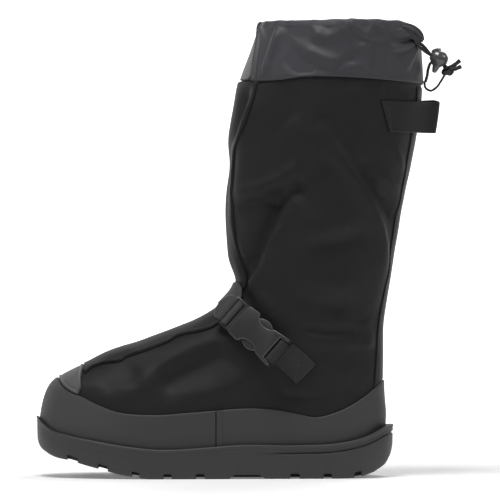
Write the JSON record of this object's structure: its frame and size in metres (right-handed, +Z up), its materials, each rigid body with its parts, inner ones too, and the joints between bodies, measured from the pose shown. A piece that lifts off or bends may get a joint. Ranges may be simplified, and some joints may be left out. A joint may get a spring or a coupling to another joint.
{
  "type": "winter overshoe",
  "caption": "Tall left winter overshoe with nylon shaft, rubber mudguard, lugged cup sole, buckled instep strap, front pleat and drawcord cuff",
  "frame": {"origin": "on the floor under the middle of the overshoe's box, measured without the drawcord, its lock, knot and tether", "axes": "-X points to the toe, +X to the heel, -Y to the outer (lateral) side of the left foot, +Y to the inner side, +Z up"},
  "size_m": [0.3761, 0.1266, 0.4019],
  "materials": {
    "shaft_nylon": "dull coated nylon weave",
    "cuff_taffeta": "smooth thin nylon with a soft sheen",
    "mudguard_rubber": "fine textured rubber",
    "toe_patch_rubber": "grainy rubber coated overlay",
    "sole_rubber": "satin moulded rubber",
    "grey_fastening": "grey hook and loop tape",
    "webbing": "ribbed nylon webbing",
    "insole_board": "pressed fibre board",
    "buckle_plastic": "satin moulded plastic",
    "tab_tape": "woven tape",
    "cord": "braided cord"
  },
  "bodies": {
    "root": {"upper": "shaft_nylon", "rand_toe": "mudguard_rubber", "rand_heel": "mudguard_rubber", "toe_patch": "toe_patch_rubber", "front_pleat": "shaft_nylon", "cuff": "cuff_taffeta", "closure_strip": "grey_fastening", "instep_strap": "webbing", "strap_anchor": "webbing", "outsole": "sole_rubber", "insole": "insole_board", "buckle_male": "buckle_plastic", "buckle_female": "buckle_plastic", "pull_tab": "tab_tape", "drawcord_near": "cord", "drawcord_far": "cord", "tether_cord": "cord", "tether_tape": "cord", "cord_lock": "buckle_plastic", "cord_lock_button": "buckle_plastic", "cord_knot": "cord"}
  },
  "joints": []
}
